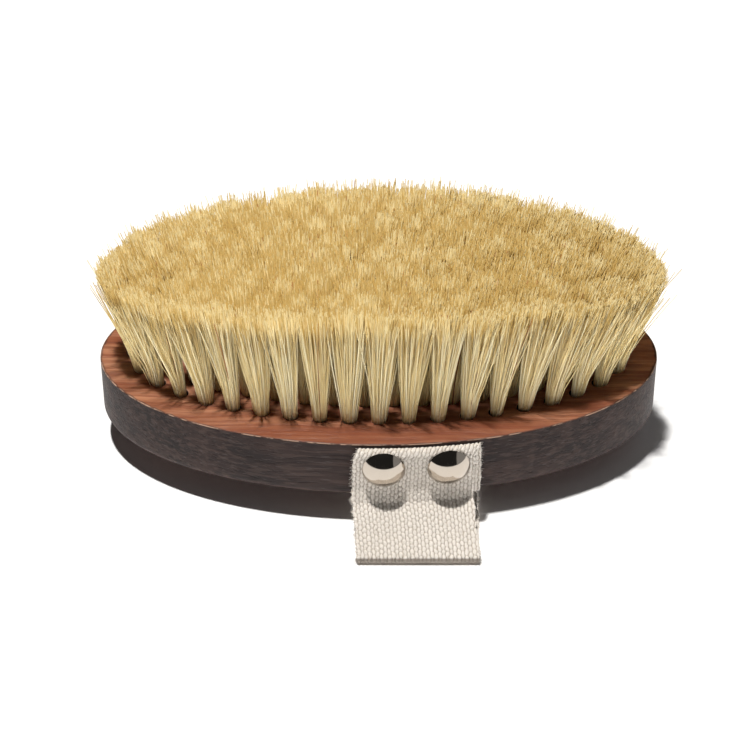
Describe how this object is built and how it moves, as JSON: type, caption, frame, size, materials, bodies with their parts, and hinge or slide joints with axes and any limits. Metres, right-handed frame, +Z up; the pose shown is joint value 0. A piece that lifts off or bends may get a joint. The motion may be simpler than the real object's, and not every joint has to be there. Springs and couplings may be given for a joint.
{
  "type": "body dry brush",
  "caption": "Oval wooden dry brush with rings of stiff plant-fibre tufts on a flat face and a nailed webbing hand strap over its rounded back, lying on its back.",
  "frame": {"origin": "on the surface the brush lies on, under the middle of the block, with the brush on its back", "axes": "+X along the block's length, +Y across it towards the rear end of the strap, +Z up, the way the bristles point"},
  "size_m": [0.136, 0.1024, 0.0537],
  "materials": {
    "wood": "oiled heat-treated hardwood, reddish brown on the sanded face, dark grey-brown on the side and back, fine long grain",
    "bristle": "undyed stiff plant fibre, cream yellow along its length and golden at the cut tips",
    "webbing": "undyed coarse cotton webbing, matt, off-white",
    "nickel": "polished nickel-plated steel"
  },
  "bodies": {
    "brush": {"brush_block": "wood", "tufts_ring_1_group_1": "bristle", "tufts_ring_1_group_2": "bristle", "tufts_ring_1_group_3": "bristle", "tufts_ring_1_group_4": "bristle", "tufts_ring_1_group_5": "bristle", "tufts_ring_1_group_6": "bristle", "tufts_ring_1_group_7": "bristle", "tufts_ring_1_group_8": "bristle", "tufts_ring_2_group_1": "bristle", "tufts_ring_2_group_2": "bristle", "tufts_ring_2_group_3": "bristle", "tufts_ring_2_group_4": "bristle", "tufts_ring_2_group_5": "bristle", "tufts_ring_2_group_6": "bristle", "tufts_ring_2_group_7": "bristle", "tufts_ring_2_group_8": "bristle", "tufts_ring_3_group_1": "bristle", "tufts_ring_3_group_2": "bristle", "tufts_ring_3_group_3": "bristle", "tufts_ring_3_group_4": "bristle", "tufts_ring_3_group_5": "bristle", "tufts_ring_3_group_6": "bristle", "tufts_ring_4_group_1": "bristle", "tufts_ring_4_group_2": "bristle", "tufts_ring_4_group_3": "bristle", "tufts_ring_4_group_4": "bristle", "tufts_ring_4_group_5": "bristle", "tufts_ring_4_group_6": "bristle", "tufts_centre_row_group_1": "bristle", "tufts_centre_row_group_2": "bristle", "strap_end_front": "webbing", "strap_end_rear": "webbing", "strap_leg_front": "webbing", "strap_leg_rear": "webbing", "strap_nail_front_left": "nickel", "strap_nail_front_right": "nickel", "strap_nail_rear_left": "nickel", "strap_nail_rear_right": "nickel"},
    "hand_strap": {"strap_palm": "webbing"}
  },
  "joints": [
    {"name": "strap_lift", "type": "slide", "parent": "brush", "child": "hand_strap", "axis": [0, 0, -1], "range_m": [0, 0.02], "deforming": ["strap_leg_front", "strap_leg_rear"]}
  ]
}
